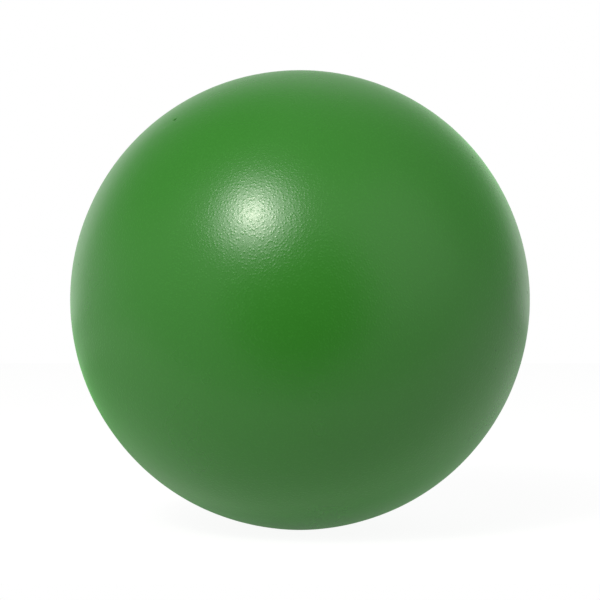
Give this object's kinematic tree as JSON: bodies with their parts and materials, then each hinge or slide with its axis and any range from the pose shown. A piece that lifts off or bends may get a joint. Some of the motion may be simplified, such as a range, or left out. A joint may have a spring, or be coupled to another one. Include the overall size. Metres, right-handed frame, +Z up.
{
  "type": "stress ball",
  "caption": "Round foam stress ball with a dense skin and a pebbled, half-gloss green coat; its upper half presses down into the foam and springs back.",
  "frame": {"origin": "centre of the ball", "axes": "+Z up, along the line of the squeeze, from the palm side to the side that the fingers press"},
  "size_m": [0.063, 0.063, 0.063],
  "materials": {
    "colour_coat": "half-gloss elastic paint with a fine pebbled surface",
    "foam_skin": "satin, dense moulded foam skin",
    "soft_foam": "matt open-cell foam"
  },
  "bodies": {
    "lower_half": {"coat_lower": "colour_coat", "skin_lower": "foam_skin", "foam_core": "soft_foam"},
    "upper_half": {"coat_upper": "colour_coat", "skin_upper": "foam_skin"}
  },
  "joints": [
    {"name": "squeeze", "type": "slide", "parent": "lower_half", "child": "upper_half", "axis": [0, 0, -1], "range_m": [0, 0.028], "stiffness_N_per_m": 1800, "deforming": ["coat_lower", "skin_lower", "foam_core", "coat_upper", "skin_upper"]}
  ]
}
